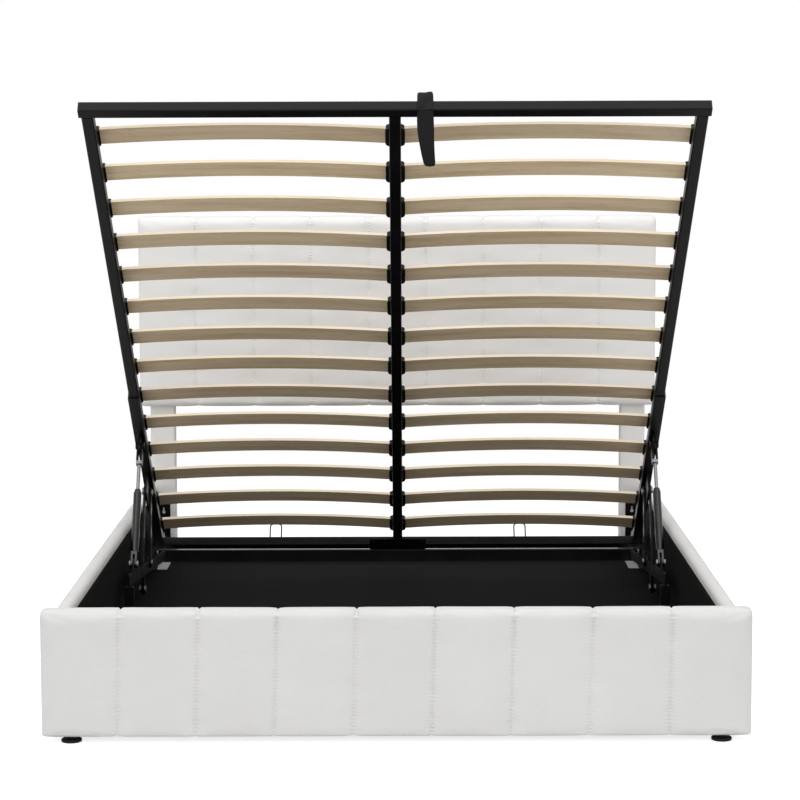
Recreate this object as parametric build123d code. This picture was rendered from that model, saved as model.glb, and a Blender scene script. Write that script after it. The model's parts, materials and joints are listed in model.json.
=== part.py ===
from build123d import *
from math import atan2, cos, degrees, hypot, radians, sin
import os

os.makedirs("parts", exist_ok=True)

# Ottoman storage bed with its mattress platform raised.
# X runs across the bed, +Y towards the headboard and +Z up, in millimetres.
# The origin lies on the floor under the middle of the bed.
# A depth is measured from the outer face of the footboard towards the head.

# Whole bed
bed_width = 1600.0
bed_length = 2160.0
ground_gap = 16.0
channel_count = 9
fit_gap = 0.4
cut_overrun = 5.0

# Footboard
foot_thickness = 55.0
foot_height = 285.0
foot_crown = 7.0
foot_end_crown = 14.0
foot_front_radius = 17.0
foot_back_radius = 9.0
foot_board_margin = 22.0
foot_board_thickness = 30.0

# Headboard
head_thickness = 80.0
head_bottom = 533.0
head_height = 583.0
head_crown = 9.0
head_end_crown = 17.0
head_front_radius = 24.0
head_back_radius = 10.0
head_pad_front = 30.0
head_frame_margin = 32.0
head_cover_thickness = 4.0

# Head legs and the timber frame inside the headboard
leg_width = 78.0
leg_inset = 33.0
leg_corner_radius = 7.0
leg_glide_radius = 19.0
leg_glide_height = 6.0
cross_rail_height = 70.0
cross_rail_count = 3

# Side rails and their linings
rail_inset = 13.0
rail_thickness = 37.0
rail_height = 275.0
rail_top_radius = 11.0
rail_bottom_radius = 5.0
lining_thickness = 2.0
lining_drop = 24.0

# Floor of the storage space
floor_top = 56.0
floor_thickness = 12.0
floor_head_gap = 80.0
floor_edge_gap = 2.0
floor_joint_gap = 1.0
floor_notch_width = 46.0
floor_notch_length = 130.0
ledge_width = 14.0
ledge_height = 20.0

# Brackets at the four corners
bracket_plate = 3.0
bracket_bottom = 106.0
bracket_height = 123.0
bracket_arm = 40.0
bracket_corner_radius = 4.0
keyhole_radius = 5.5
keyhole_slot_radius = 2.6
keyhole_length = 13.0
keyhole_spacing = 78.0

# Screw-in glides of the footboard
glide_radius = 23.5
glide_height = 7.0
glide_edge_radius = 2.0
glide_stem_radius = 9.0
glide_inset = 62.0

# Base bars, posts and head crossbar of the lift mechanism
mechanism_gap = 28.0
plate_thickness = 5.0
base_bar_height = 32.0
base_bar_overhang = 18.0
base_bar_front_z = 179.0
base_bar_back_z = 76.0
post_from_head = 1090.0
post_width = 25.0
post_wall = 2.0
post_foot_height = 6.0
crossbar_gap = 45.0
crossbar_z = 71.0
crossbar_height = 38.0
crossbar_width = 20.0
crossbar_end_plate = 4.0
crossbar_end_height = 54.0

# Pivots on the base: how far the front arm's lies from the headboard's back, how far the
# rear arm's lies behind it and the strut's behind the post, and their heights
front_base_from_head = 731.8
front_base_z = 85.5
rear_base_behind = 131.2
rear_base_z = 137.8
strut_base_behind = 110.0
strut_base_z = 201.0

# Pivots on the platform: along it from the head bar, and below its tubes' centre line
front_lift_from_head = 393.85
front_lift_drop = 58.03
rear_lift_from_head = 342.98
rear_lift_drop = 32.06
strut_lift_from_head = 611.0
strut_lift_drop = 42.0

# Raised pose of the platform
front_arm_length = 285.513
front_arm_rise = 67.665
open_tilt = 40.0

# Pivot fittings
pin_radius = 5.0
pin_clearance = 0.05
open_pin_clearance = 4.4
pin_head_radius = 10.0
pin_head_height = 4.0
layer_gap = 0.5
lug_radius = 16.0
arm_width = 30.0
front_arm_hole_count = 3
arm_hole_radius = 6.0

# Gas struts
strut_cylinder_radius = 11.0
strut_rod_radius = 5.0
strut_cylinder_length = 182.0
strut_wall = 1.5
strut_neck_length = 7.0
strut_neck_radius = 8.5
strut_fork_width = 20.0
strut_lower_reach = 26.0
strut_upper_reach = 50.0
strut_fork_neck = 9.0
strut_slot_along = 50.0
strut_slot_up = 5.0
strut_slot_down = 9.0

# Mattress platform
tube = 28.0
tube_wall = 1.5
tube_corner_radius = 3.0
bar_overhang = 3.0
platform_gap = 160.0
plug_flange = 3.0
plug_depth = 14.0
joint_plate_width = 168.0
joint_plate_length = 62.0
joint_plate_thickness = 3.0
joint_bolt_radius = 6.0
joint_bolt_height = 3.5

# Slats and their holders
slat_rows = 14
slat_width = 53.0
slat_thickness = 8.0
slat_camber = 14.0
slat_first = 119.5
slat_last_gap = 80.1
slat_inner_gap = 12.0
slat_end_gap = 4.0
slat_rise = 4.0
holder_clearance = 0.4
beam_holder_length = 66.0
side_holder_length = 57.0
holder_height = 15.0
beam_holder_width = 47.0
beam_holder_radius = 12.0
side_holder_inside = 18.0
side_holder_outside = 4.0
side_holder_radius = 4.0
holder_skirt = 6.0

# Brackets under the side tubes
flange_thickness = 3.0
strut_web_margin = 10.0
strut_bracket_front = 178.0
strut_bracket_back = 6.0
arm_bracket_start_gap = 26.15
arm_bracket_end_gap = 32.98
arm_bracket_drop = 79.0
bracket_web_radius = 12.0
outer_flange_rise = 11.0

# Wire mattress stops
stop_wire = 4.0
stop_width = 38.0
stop_height = 52.0
stop_bend_radius = 10.0
stop_spacing = 738.0

# Pull strap
strap_width = 38.0
strap_thickness = 2.6
strap_offset = 71.0
strap_slack = 0.4
strap_hump = 20.0
strap_tail_length = 132.0
strap_tail_end_width = 27.0
strap_sway = 4.0

# Bolts of the base
bolt_radius = 7.0
bolt_head = 4.0

half_width = bed_width / 2
inner_half = half_width - rail_inset - rail_thickness
lining_half = inner_half - lining_thickness
half_mechanism = lining_half - mechanism_gap
leg_spacing = bed_width - leg_width - 2 * leg_inset
leg_front_depth = bed_length - head_thickness + head_pad_front
leg_thickness = head_thickness - head_pad_front - head_cover_thickness - fit_gap
rail_top = ground_gap + rail_height
floor_head_depth = leg_front_depth - floor_head_gap
floor_notch_depth = floor_head_depth - floor_notch_length
tube_half = tube / 2
bar_length = 2 * (half_mechanism + tube_half + bar_overhang)
platform_length = bed_length - platform_gap
slat_pitch = (platform_length - slat_first - slat_last_gap) / (slat_rows - 1)
slat_outer_end = half_mechanism - slat_end_gap
side_holder_inner = half_mechanism - side_holder_inside
side_holder_outer = half_mechanism + side_holder_outside

post_depth = bed_length - post_from_head
base_bar_front_depth = post_depth - base_bar_overhang
crossbar_depth = leg_front_depth - crossbar_gap - crossbar_width / 2
base_bar_back_depth = crossbar_depth - crossbar_width / 2
front_base_depth = bed_length - front_base_from_head
rear_base_depth = front_base_depth + rear_base_behind
strut_base_depth = post_depth + strut_base_behind
front_lift_along = platform_length - front_lift_from_head
rear_lift_along = platform_length - rear_lift_from_head
strut_lift_along = platform_length - strut_lift_from_head
arm_bracket_start = front_lift_along - arm_bracket_start_gap
arm_bracket_end = rear_lift_along + arm_bracket_end_gap

tilt = radians(open_tilt)
arm_rise = radians(front_arm_rise)
front_bar_depth = (front_base_depth + front_arm_length * cos(arm_rise)
                   - front_lift_along * cos(tilt) + front_lift_drop * sin(tilt))
front_bar_z = (front_base_z + front_arm_length * sin(arm_rise)
               + front_lift_along * sin(tilt) + front_lift_drop * cos(tilt))


def at_depth(value):
    """Y of a point that lies so far behind the footboard's outer face."""
    return value - bed_length / 2


def block(low, high):
    """Box between two opposite corners."""
    size = [b - a for a, b in zip(low, high)]
    return Pos(*low) * Box(*size, align=(Align.MIN, Align.MIN, Align.MIN))


def side_plane(x):
    """Plane across X whose local axes are the bed's Y and Z."""
    return Plane(origin=(x, 0, 0), x_dir=(0, 1, 0), z_dir=(1, 0, 0))


def plate(sketch, x_low, thickness):
    """Flat plate from an outline drawn in Y and Z."""
    return extrude(side_plane(x_low) * sketch, amount=thickness)


def both_sides(part):
    """The part on the right and its mirror image on the left."""
    return [part, mirror(part, about=Plane.YZ)]


def save(name, *solids):
    """Write one sub-part, which may be a group of equal pieces."""
    shape = solids[0] if len(solids) == 1 else Compound(children=list(solids))
    export_step(shape, os.path.join("parts", name + ".step"))


def save_sides(name, part):
    """Write the right and the left piece as two sub-parts."""
    right, left = both_sides(part)
    save(name + "_right", right)
    save(name + "_left", left)


def panel_section(x, thickness, height, front_radius, back_radius, inset):
    """Side outline of an upholstered panel, drawn in by the inset all round."""
    front = inset - thickness
    corners = [(0, inset), (0, height - inset), (front, height - inset), (front, inset)]
    radii = [back_radius, back_radius, front_radius, front_radius]
    outline = FilletPolyline(*corners, radius=radii, close=True)
    return side_plane(x) * make_face(outline)


def channelled_panel(thickness, height, crown, end_crown, front_radius, back_radius):
    """Upholstered panel with upright channels, its back face at Y 0 and its foot at Z 0."""
    pitch = bed_width / channel_count
    channels = []
    for index in range(channel_count):
        start = index * pitch - half_width
        first = end_crown if index == 0 else crown
        last = end_crown if index == channel_count - 1 else crown
        insets = [(start, first), (start + pitch / 2, 0), (start + pitch, last)]
        sections = [
            panel_section(x, thickness, height, front_radius, back_radius, inset)
            for x, inset in insets
        ]
        channels.append(loft(sections))
    return channels[0].fuse(*channels[1:])


def footboard():
    panel = Pos(0, at_depth(foot_thickness), ground_gap) * channelled_panel(
        foot_thickness, foot_height, foot_crown, foot_end_crown, foot_front_radius, foot_back_radius
    )
    back = at_depth(foot_thickness)
    low = (foot_board_margin - half_width, back - foot_board_thickness, ground_gap + foot_board_margin)
    high = (half_width - foot_board_margin, back, rail_top + foot_height - rail_height - foot_board_margin)
    board = block(low, high)
    pocket_low = (low[0] - fit_gap, low[1] - fit_gap, low[2] - fit_gap)
    pocket_high = (high[0] + fit_gap, back + cut_overrun, high[2] + fit_gap)
    panel -= block(pocket_low, pocket_high)
    for side in (-1, 1):
        socket = Cylinder(glide_stem_radius + fit_gap, low[2] - ground_gap + cut_overrun)
        place = (side * (half_width - glide_inset), at_depth(foot_thickness / 2))
        panel -= Pos(*place, (low[2] + ground_gap) / 2) * socket
    save("footboard_panel", panel)
    save("footboard_board", board)


def foot_glide():
    """Round glide whose stem ends at the board inside the footboard."""
    disc = Cylinder(glide_radius, glide_height, align=(Align.CENTER, Align.CENTER, Align.MIN))
    disc = fillet(disc.edges().filter_by(GeomType.CIRCLE), glide_edge_radius)
    stem_top = ground_gap + foot_board_margin
    stem = Cylinder(glide_stem_radius, stem_top, align=(Align.CENTER, Align.CENTER, Align.MIN))
    return Pos(half_width - glide_inset, at_depth(foot_thickness / 2), 0) * (disc + stem)


def headboard():
    back = at_depth(bed_length)
    panel = Pos(0, back, head_bottom) * channelled_panel(
        head_thickness, head_height, head_crown, head_end_crown, head_front_radius, head_back_radius
    )
    front = at_depth(leg_front_depth)
    edge = half_width - head_frame_margin
    frame_bottom = head_bottom + head_frame_margin
    frame_top = head_bottom + head_height - head_frame_margin
    pocket_low = (-edge, front - fit_gap, frame_bottom)
    panel -= block(pocket_low, (edge, back + cut_overrun, frame_top))
    legs = both_sides(head_leg(frame_top - fit_gap))
    for side in (-1, 1):
        centre = side * leg_spacing / 2
        reach = leg_width / 2 + fit_gap
        notch_low = (centre - reach, front - fit_gap, head_bottom - cut_overrun)
        panel -= block(notch_low, (centre + reach, back + cut_overrun, frame_bottom + cut_overrun))
    save("headboard_panel", panel)
    save("head_leg_right", legs[0])
    save("head_leg_left", legs[1])
    save("headboard_cross_rails", *cross_rails(front, frame_bottom, frame_top))
    cover_front = back - head_cover_thickness
    cover_low = (fit_gap - edge, cover_front, frame_bottom + fit_gap)
    save("headboard_back_cover", block(cover_low, (edge - fit_gap, back, frame_top - fit_gap)))


def head_leg(top):
    outline = RectangleRounded(leg_width, leg_thickness, leg_corner_radius)
    leg = extrude(outline, amount=top - leg_glide_height)
    middle = at_depth(leg_front_depth) + leg_thickness / 2
    return Pos(leg_spacing / 2, middle, leg_glide_height) * leg


def leg_glide():
    disc = Cylinder(leg_glide_radius, leg_glide_height, align=(Align.CENTER, Align.CENTER, Align.MIN))
    return Pos(leg_spacing / 2, at_depth(leg_front_depth) + leg_thickness / 2, 0) * disc


def cross_rails(front, bottom, top):
    """Timber rails that join the two legs inside the headboard."""
    reach = (leg_spacing - leg_width) / 2
    free = top - bottom - cross_rail_height - 2 * fit_gap
    rails = []
    for index in range(cross_rail_count):
        low = bottom + fit_gap + free * index / (cross_rail_count - 1)
        rails.append(block((-reach, front, low), (reach, front + leg_thickness, low + cross_rail_height)))
    return rails


def side_rail():
    corners = [(0, 0), (0, rail_height), (rail_thickness, rail_height), (rail_thickness, 0)]
    radii = [rail_bottom_radius, rail_top_radius, rail_top_radius, rail_bottom_radius]
    outline = make_face(FilletPolyline(*corners, radius=radii, close=True))
    start = at_depth(foot_thickness)
    face = Plane(origin=(inner_half, start, ground_gap), x_dir=(1, 0, 0), z_dir=(0, -1, 0)) * outline
    return extrude(face, amount=foot_thickness - leg_front_depth)


def linings():
    """Black linings on the inner faces of both rails and the footboard."""
    low_z = floor_top - floor_thickness - ledge_height
    start = at_depth(foot_thickness)
    high_z = rail_top - lining_drop
    side_low = (lining_half, start + lining_thickness, low_z)
    side = block(side_low, (inner_half, at_depth(leg_front_depth), high_z))
    foot = block((-inner_half, start, low_z), (inner_half, start + lining_thickness, high_z))
    save("storage_linings", *both_sides(side), foot)


def floor():
    edge = lining_half - floor_edge_gap
    low_z = floor_top - floor_thickness
    start = foot_thickness + lining_thickness + floor_edge_gap
    joint = post_depth
    spans = [(start, joint - floor_joint_gap / 2), (joint + floor_joint_gap / 2, floor_head_depth)]
    panels = []
    for first, last in spans:
        panels.append(block((-edge, at_depth(first), low_z), (edge, at_depth(last), floor_top)))
    hole = post_width / 2 + floor_edge_gap
    for side in (-1, 1):
        x = side * half_mechanism
        middle = at_depth(post_depth)
        low = (x - hole, middle - hole, low_z - cut_overrun)
        notch = block(low, (x + hole, middle + hole, floor_top + cut_overrun))
        panels = [panel - notch for panel in panels]
        inner = side * (edge - floor_notch_width)
        outer = side * (edge + cut_overrun)
        corner_low = (min(inner, outer), at_depth(floor_notch_depth), low_z - cut_overrun)
        corner_high = (max(inner, outer), at_depth(floor_head_depth) + cut_overrun, floor_top + cut_overrun)
        panels[1] -= block(corner_low, corner_high)
    save("floor_panel_foot", panels[0])
    save("floor_panel_head", panels[1])


def ledges():
    """Battens under the floor panels, along the rails and the footboard."""
    top = floor_top - floor_thickness
    low = top - ledge_height
    start = at_depth(foot_thickness + lining_thickness)
    end = at_depth(floor_notch_depth)
    side_low = (lining_half - ledge_width, start + ledge_width, low)
    pieces = both_sides(block(side_low, (lining_half, end, top)))
    pieces.append(block((-lining_half, start, low), (lining_half, start + ledge_width, top)))
    middle = at_depth(post_depth)
    reach = lining_half - ledge_width
    brace_low = (post_width - half_mechanism, middle - ledge_width / 2, low)
    pieces.append(block(brace_low, (half_mechanism - post_width, middle + ledge_width / 2, top)))
    head_low = (-reach, end - ledge_width, low)
    pieces.append(block(head_low, (reach, end, top)))
    save("floor_ledges", *pieces)


def keyhole(x, z):
    """Keyhole cut-out of a hanging bracket, seen from the foot end."""
    slot = Pos(x, z + keyhole_length / 2) * SlotCenterToCenter(
        keyhole_length, 2 * keyhole_slot_radius, rotation=90
    )
    return Pos(x, z) * Circle(keyhole_radius) + slot


def leg_bracket():
    """Black angle that hooks a side rail to a head leg, with two keyholes."""
    face_y = at_depth(leg_front_depth)
    centre = lining_half - bracket_arm / 2
    middle_z = bracket_bottom + bracket_height / 2
    sheet = Pos(centre, middle_z) * RectangleRounded(bracket_arm, bracket_height, bracket_corner_radius)
    for side in (-1, 1):
        sheet -= keyhole(centre, middle_z + side * keyhole_spacing / 2 - keyhole_length / 2)
    front_view = Plane(origin=(0, face_y, 0), x_dir=(1, 0, 0), z_dir=(0, -1, 0))
    face_plate = extrude(front_view * sheet, amount=bracket_plate)
    arm_middle = face_y - bracket_plate - bracket_arm / 2
    arm = Pos(arm_middle, middle_z) * RectangleRounded(bracket_arm, bracket_height, bracket_corner_radius)
    side_plate = plate(arm, lining_half - bracket_plate, bracket_plate)
    corner_low = (lining_half - bracket_plate, face_y - bracket_plate - bracket_corner_radius, bracket_bottom
                  + bracket_corner_radius)
    corner_high = (lining_half, face_y, bracket_bottom + bracket_height - bracket_corner_radius)
    return face_plate + side_plate + block(corner_low, corner_high)


def corner_bracket():
    """Plain angle that joins a side rail to the footboard."""
    face_y = at_depth(foot_thickness + lining_thickness)
    middle_z = bracket_bottom + bracket_height / 2
    high_z = bracket_bottom + bracket_height
    on_board = block((lining_half - bracket_arm, face_y, bracket_bottom),
                     (lining_half, face_y + bracket_plate, high_z))
    on_rail = block((lining_half - bracket_plate, face_y, bracket_bottom),
                    (lining_half, face_y + bracket_arm, high_z))
    bracket = on_board + on_rail
    for side in (-1, 1):
        z = middle_z + side * keyhole_spacing / 2
        head = Pos(face_y + bracket_arm / 2, z) * Circle(bolt_radius)
        bracket += plate(head, lining_half - bracket_plate - bolt_head, bolt_head)
    return bracket


def base_bar_line(depth):
    """Height of the base bar's centre line at a depth."""
    share = (depth - base_bar_front_depth) / (base_bar_back_depth - base_bar_front_depth)
    return base_bar_front_z + share * (base_bar_back_z - base_bar_front_z)


def lug(depth, z):
    """Ear that carries a pivot and runs into the base bar."""
    eye = Pos(at_depth(depth), z) * Circle(lug_radius)
    line = base_bar_line(depth)
    foot = [(at_depth(depth - 2 * lug_radius), line), (at_depth(depth + 2 * lug_radius), line)]
    return make_hull(eye.edges() + Line(*foot).edges())


def base_bar():
    """Sloping flat bar with the ears of both arms and of the gas strut."""
    reach = base_bar_height / 2
    ends = [(base_bar_front_depth, base_bar_front_z), (base_bar_back_depth, base_bar_back_z)]
    corners = [(at_depth(ends[0][0]), ends[0][1] - reach), (at_depth(ends[1][0]), ends[1][1] - reach)]
    corners += [(at_depth(ends[1][0]), ends[1][1] + reach), (at_depth(ends[0][0]), ends[0][1] + reach)]
    sheet = make_face(Polyline(*corners, close=True))
    pivots = [(front_base_depth, front_base_z), (rear_base_depth, rear_base_z),
              (strut_base_depth, strut_base_z)]
    for depth, z in pivots:
        sheet += lug(depth, z)
    for depth, z in pivots:
        sheet -= Pos(at_depth(depth), z) * Circle(pin_radius)
    return plate(sheet, half_mechanism - plate_thickness / 2, plate_thickness)


def post():
    """Square steel leg that stands on the floor under the base bar."""
    outer = RectangleRounded(post_width, post_width, post_wall)
    inner = Rectangle(post_width - 2 * post_wall, post_width - 2 * post_wall)
    top = base_bar_line(post_depth + post_width / 2) - base_bar_height / 2
    shaft = extrude(outer - inner, amount=top - post_foot_height)
    cap = Pos(0, 0, top - post_foot_height - post_wall) * extrude(outer, amount=post_wall)
    return Pos(half_mechanism, at_depth(post_depth), post_foot_height) * (shaft + cap)


def post_foot():
    foot = extrude(RectangleRounded(post_width, post_width, post_wall), amount=post_foot_height)
    return Pos(half_mechanism, at_depth(post_depth), 0) * foot


def hollow_bar(width, height, wall, radius, length):
    """Rectangular tube that runs along +Y from Y 0."""
    section = RectangleRounded(width, height, radius)
    section -= RectangleRounded(width - 2 * wall, height - 2 * wall, radius - wall)
    face = Plane(origin=(0, 0, 0), x_dir=(1, 0, 0), z_dir=(0, -1, 0)) * section
    return extrude(face, amount=-length)


def crossbar():
    """Fixed steel tube across the head end that ties both base bars."""
    length = 2 * (lining_half - crossbar_end_plate)
    bar = hollow_bar(crossbar_width, crossbar_height, tube_wall, tube_corner_radius, length)
    bar = Rot(0, 0, -90) * bar
    bar = Pos(-length / 2, at_depth(crossbar_depth), crossbar_z) * bar
    end = Pos(at_depth(crossbar_depth), crossbar_z) * RectangleRounded(
        crossbar_end_height, crossbar_end_height, bracket_corner_radius
    )
    for piece in both_sides(plate(end, lining_half - crossbar_end_plate, crossbar_end_plate)):
        bar += piece
    return bar


def pin(depth, z, x_low, x_high, heads):
    """Pivot pin along X, with a round head past the ends that are named."""
    shaft = plate(Pos(at_depth(depth), z) * Circle(pin_radius), x_low, x_high - x_low)
    head = Pos(at_depth(depth), z) * Circle(pin_head_radius)
    if "low" in heads:
        shaft += plate(head, x_low, pin_head_height)
    if "high" in heads:
        shaft += plate(head, x_high - pin_head_height, pin_head_height)
    return shaft


plate_low = half_mechanism - plate_thickness / 2
plate_high = half_mechanism + plate_thickness / 2
front_layer = plate_high + layer_gap
rear_layer = plate_low - layer_gap - plate_thickness
front_layer_end = front_layer + plate_thickness
head_room = layer_gap + pin_head_height


def platform_point(along, above):
    """Depth and height, in the raised pose, of a point on the platform."""
    depth = front_bar_depth + along * cos(tilt) + above * sin(tilt)
    return depth, front_bar_z - along * sin(tilt) + above * cos(tilt)


front_lift = platform_point(front_lift_along, -front_lift_drop)
rear_lift = platform_point(rear_lift_along, -rear_lift_drop)
strut_lift = platform_point(strut_lift_along, -strut_lift_drop)


def raised(part):
    """Move a piece from the flat platform to its raised pose."""
    return Pos(0, at_depth(front_bar_depth), front_bar_z) * Rot(-open_tilt, 0, 0) * part


def arm(base, lift, x_low, base_hole, lift_hole, lightening):
    """Lift arm between two pivots, with round ends and lightening holes."""
    length = hypot(lift[0] - base[0], lift[1] - base[1])
    angle = degrees(atan2(lift[1] - base[1], lift[0] - base[0]))
    sheet = Pos(length / 2, 0) * SlotCenterToCenter(length, arm_width)
    sheet -= Circle(base_hole)
    sheet -= Pos(length, 0) * Circle(lift_hole)
    for index in range(lightening):
        sheet -= Pos(length * (index + 1) / (lightening + 1), 0) * Circle(arm_hole_radius)
    sheet = Pos(at_depth(base[0]), base[1]) * Rot(0, 0, angle) * sheet
    return plate(sheet, x_low, plate_thickness)


def arms():
    running = pin_radius + pin_clearance
    front_base = (front_base_depth, front_base_z)
    rear_base = (rear_base_depth, rear_base_z)
    front = arm(front_base, front_lift, front_layer, running, running, front_arm_hole_count)
    save_sides("front_arm", front)
    rear = arm(rear_base, rear_lift, rear_layer, running, pin_radius, front_arm_hole_count - 1)
    save_sides("rear_arm", rear)
    front_pin = pin(*front_base, plate_low - pin_head_height, front_layer_end + head_room, ("low", "high"))
    rear_pin = pin(*rear_base, rear_layer - head_room, plate_high, ("low",))
    strut_pin = pin(strut_base_depth, strut_base_z, rear_layer - head_room,
                    front_layer_end + head_room, ("low", "high"))
    save("base_pins", *both_sides(front_pin), *both_sides(rear_pin), *both_sides(strut_pin))
    open_end = plate_high + head_room
    save("rear_lift_pins", *both_sides(pin(*rear_lift, rear_layer - pin_head_height, open_end,
                                           ("low", "high"))))
    lift_pin = pin(*front_lift, plate_low, front_layer_end + head_room, ("high",))
    save("front_lift_pins", *both_sides(lift_pin))


def strut_place(part):
    """Move a strut piece drawn along +Y from the lower pivot to its raised pose."""
    angle = degrees(atan2(strut_lift[1] - strut_base_z, strut_lift[0] - strut_base_depth))
    start = Pos(half_mechanism, at_depth(strut_base_depth), strut_base_z)
    return start * Rot(angle, 0, 0) * part


def rod_along_y(radius, start, end):
    """Round bar on the strut's own axis."""
    ring = Plane(origin=(0, start, 0), x_dir=(1, 0, 0), z_dir=(0, 1, 0)) * Circle(radius)
    return extrude(ring, amount=end - start)


def fork(start, reach, direction, hole):
    """Forked end fitting with a hole for its pin at the start."""
    inner = plate_thickness / 2 + layer_gap
    outer = inner + plate_thickness
    tines = []
    for x in (-outer, inner):
        ear = SlotCenterToCenter(reach, strut_fork_width)
        ear = Pos(start + direction * reach / 2, 0) * ear - Pos(start, 0) * Circle(hole)
        tines.append(plate(ear, x, plate_thickness))
    bridge_near = start + direction * (reach + layer_gap)
    bridge_far = bridge_near + direction * strut_fork_neck
    half = strut_fork_width / 2
    low_y, high_y = sorted((bridge_near, bridge_far))
    bridge = block((-outer, low_y, -half), (outer, high_y, half))
    return tines[0] + tines[1] + bridge


def struts():
    length = hypot(strut_lift[0] - strut_base_depth, strut_lift[1] - strut_base_z)
    body_start = strut_lower_reach + layer_gap + strut_fork_neck
    body_end = body_start + strut_cylinder_length
    shell = rod_along_y(strut_cylinder_radius, body_start, body_end)
    shell = fillet(shell.edges().filter_by(GeomType.CIRCLE), strut_wall)
    shell += rod_along_y(strut_neck_radius, body_end, body_end + strut_neck_length)
    bore_radius = strut_rod_radius + pin_clearance
    shell -= rod_along_y(strut_cylinder_radius - strut_wall, body_start + strut_wall, body_end - strut_wall)
    shell -= rod_along_y(bore_radius, body_end - 2 * strut_wall, body_end + strut_neck_length + cut_overrun)
    cylinder = shell + fork(0, strut_lower_reach, 1, pin_radius + pin_clearance)
    save("strut_cylinders", *both_sides(strut_place(cylinder)))
    rod_end = length - strut_upper_reach - strut_fork_neck
    rod = rod_along_y(strut_rod_radius, body_end - 2 * strut_fork_width, rod_end)
    rod += rod_along_y(2 * strut_rod_radius - strut_wall, body_end - 2 * strut_fork_width
                       - strut_neck_length, body_end - 2 * strut_fork_width)
    rod += fork(length, strut_upper_reach, -1, pin_radius)
    outer = plate_thickness / 2 + layer_gap + plate_thickness + pin_head_height
    shaft = side_plane(-outer) * (Pos(length, 0) * Circle(pin_radius))
    rod += extrude(shaft, amount=2 * outer)
    for x in (-outer, outer - pin_head_height):
        rod += extrude(side_plane(x) * (Pos(length, 0) * Circle(pin_head_radius)), amount=pin_head_height)
    save("strut_rods", *both_sides(strut_place(rod)))


def cross_tube(along):
    """Tube across the platform, with its ends open."""
    bar = hollow_bar(tube, tube, tube_wall, tube_corner_radius, bar_length)
    return Pos(-bar_length / 2, along, 0) * Rot(0, 0, -90) * bar


def end_plug(along):
    """Plastic plug in the right end of a cross tube."""
    flange = RectangleRounded(tube, tube, tube_corner_radius)
    inside = tube - 2 * tube_wall - 2 * fit_gap
    stem = RectangleRounded(inside, inside, tube_wall)
    place = Pos(along, 0)
    cap = plate(place * flange, bar_length / 2, plug_flange)
    return cap + plate(place * stem, bar_length / 2 - plug_depth, plug_depth)


def tubes():
    save("front_bar", raised(cross_tube(0)))
    save("head_bar", raised(cross_tube(platform_length)))
    length = platform_length - tube
    long_tube = Pos(0, tube_half, 0) * hollow_bar(tube, tube, tube_wall, tube_corner_radius, length)
    save_sides("side_tube", raised(Pos(half_mechanism, 0, 0) * long_tube))
    save("centre_beam", raised(long_tube))
    plugs = both_sides(end_plug(0)) + both_sides(end_plug(platform_length))
    save("tube_end_plugs", *[raised(plug) for plug in plugs])
    save("joint_plate", raised(joint_plate()))
    save("mattress_stops", *[raised(stop) for stop in both_sides(mattress_stop())])


def joint_plate():
    """Plate under the head bar that holds the centre beam, with its bolts."""
    sheet = RectangleRounded(joint_plate_width, joint_plate_length, bracket_corner_radius)
    start = platform_length + tube_half - joint_plate_length / 2
    sheet = Pos(0, start, -tube_half - joint_plate_thickness) * extrude(sheet, amount=joint_plate_thickness)
    for across in (-1, 1):
        for along in (-1, 1):
            x = across * (joint_plate_width / 2 - 2 * joint_bolt_radius)
            y = start + along * (joint_plate_length / 2 - 2 * joint_bolt_radius)
            head = extrude(RegularPolygon(joint_bolt_radius, 6), amount=joint_bolt_height)
            sheet += Pos(x, y, -tube_half - joint_plate_thickness - joint_bolt_height) * head
    return sheet


def mattress_stop():
    """Wire hoop that stands on the head bar and keeps the mattress in place."""
    centre = stop_spacing / 2
    reach = (stop_width - stop_wire) / 2
    top = tube_half + stop_height
    corners = [(centre - reach, 0, tube_half), (centre - reach, 0, top), (centre + reach, 0, top)]
    corners.append((centre + reach, 0, tube_half))
    path = Pos(0, platform_length, 0) * FilletPolyline(*corners, radius=stop_bend_radius)
    start = Plane(origin=path @ 0, z_dir=path % 0)
    return sweep(start * Circle(stop_wire / 2), path=path)


def slat_solid(row, clearance):
    """Cambered slat of the right column, grown all round by a clearance."""
    inner = slat_inner_gap / 2 - clearance
    outer = slat_outer_end + clearance
    low = tube_half + slat_rise - clearance
    high = tube_half + slat_rise + slat_thickness + clearance
    middle = (inner + outer) / 2
    bottom = ThreePointArc((inner, low), (middle, low + slat_camber), (outer, low))
    top = ThreePointArc((outer, high), (middle, high + slat_camber), (inner, high))
    ends = [Line((outer, low), (outer, high)), Line((inner, high), (inner, low))]
    width = slat_width + 2 * clearance
    along = slat_first + row * slat_pitch
    view = Plane(origin=(0, along + width / 2, 0), x_dir=(1, 0, 0), z_dir=(0, -1, 0))
    return extrude(view * make_face([bottom, ends[0], top, ends[1]]), amount=width)


def beam_holder(row):
    """Double holder that clips over the centre beam."""
    along = slat_first + row * slat_pitch
    body = extrude(RectangleRounded(beam_holder_width, beam_holder_length, beam_holder_radius),
                   amount=holder_height)
    skirts = Rectangle(beam_holder_width - beam_holder_radius, beam_holder_length - 2 * beam_holder_radius)
    skirts -= Rectangle(tube + 2 * holder_clearance, beam_holder_length)
    body += Pos(0, 0, -holder_skirt) * extrude(skirts, amount=holder_skirt)
    body = Pos(0, along, tube_half) * body
    for slot in both_sides(slat_solid(row, holder_clearance)):
        body -= slot
    return body


def side_holder(row):
    """Holder on the side tube that takes the outer end of a slat."""
    along = slat_first + row * slat_pitch
    width = side_holder_outer - side_holder_inner
    body = extrude(RectangleRounded(width, side_holder_length, side_holder_radius), amount=holder_height)
    body = Pos(side_holder_inner + width / 2, along, tube_half) * body
    return body - slat_solid(row, holder_clearance)


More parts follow.
